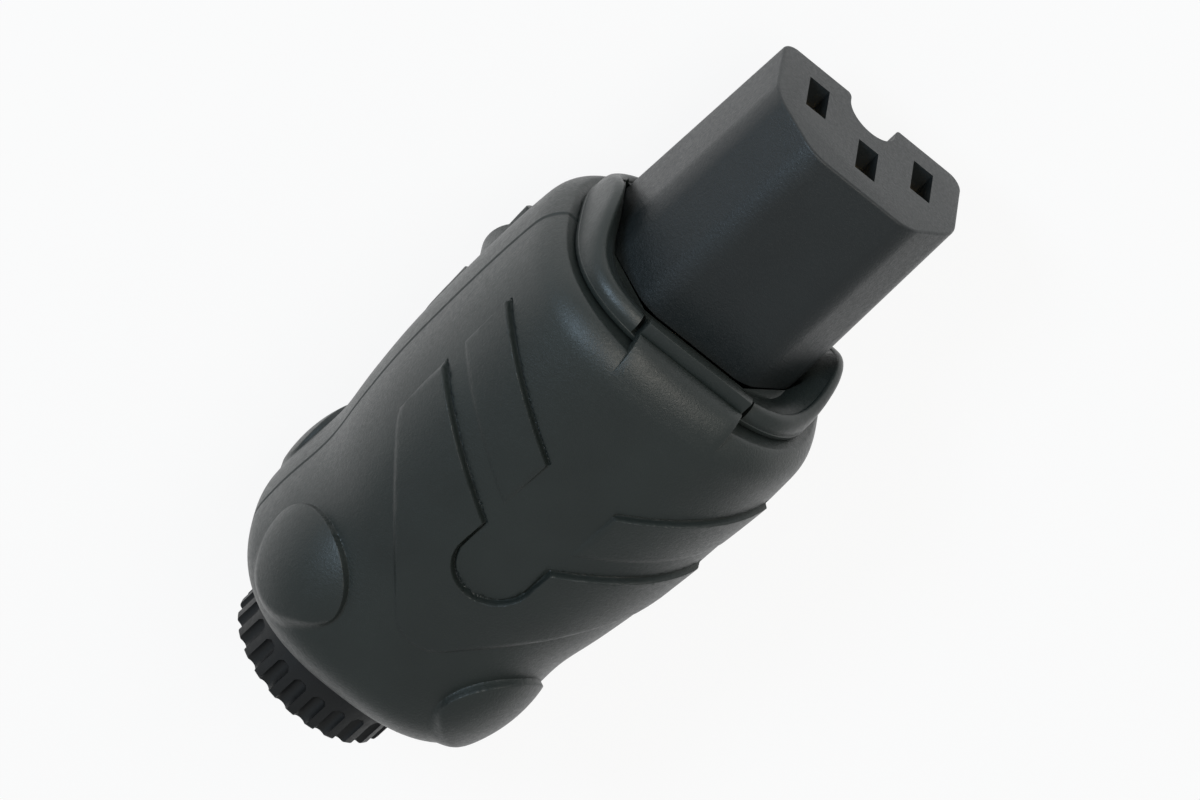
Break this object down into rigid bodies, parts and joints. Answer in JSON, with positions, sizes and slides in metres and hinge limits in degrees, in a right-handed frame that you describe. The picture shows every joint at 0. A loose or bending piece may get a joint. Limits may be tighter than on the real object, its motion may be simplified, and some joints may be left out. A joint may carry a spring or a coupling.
{
  "type": "c15 power connector",
  "caption": "Straight rewireable mains connector: a chamfered three-slot nose with a keyway, a two-part hollow housing with raised panels, and a fluted cable gland nut that turns.",
  "frame": {"origin": "centre of the nose's flat mating face, on the connector's long axis", "axes": "+X out of the mating face, +Z out of the big face on the side of the earth slot, +Y to the side; the two shells meet in the plane z = 0"},
  "size_m": [0.0883, 0.0376, 0.0352],
  "materials": {
    "nose_plastic": "fine spark-eroded texture",
    "shell_plastic": "matte with a fine grain",
    "ring_plastic": "satin",
    "carrier_plastic": "satin",
    "contact_brass": "bright stamped",
    "terminal_brass": "machined",
    "plated_steel": "zinc plated",
    "collet_nylon": "natural nylon",
    "seal_rubber": "matte"
  },
  "bodies": {
    "connector_body": {"nose_insert": "nose_plastic", "front_collar": "shell_plastic", "upper_shell": "shell_plastic", "lower_shell": "shell_plastic", "line_contact": "contact_brass", "neutral_contact": "contact_brass", "earth_contact": "contact_brass", "line_terminal": "terminal_brass", "neutral_terminal": "terminal_brass", "earth_terminal": "terminal_brass", "terminal_screws": "plated_steel", "wire_plates": "plated_steel", "contact_retainer": "carrier_plastic", "retainer_screws": "plated_steel", "gland_sleeve": "ring_plastic", "clamp_collet": "collet_nylon", "cord_seal": "seal_rubber", "shell_screws": "plated_steel", "screw_inserts": "contact_brass"},
    "slip_ring": {"slip_ring": "collet_nylon"},
    "gland_nut": {"gland_nut": "ring_plastic"}
  },
  "joints": [
    {"name": "nut_travel", "type": "slide", "parent": "connector_body", "child": "slip_ring", "axis": [-1, 0, 0], "range_m": [0, 0.0045]},
    {"name": "nut_turn", "type": "hinge", "parent": "slip_ring", "child": "gland_nut", "pos_m": [-0.0814, 0, 0], "axis": [-1, 0, 0], "range_deg": [0, 1080]}
  ],
  "couplings": [
    {"joint": "nut_travel", "follows": "nut_turn", "m_per_rad": 0.0002387}
  ]
}
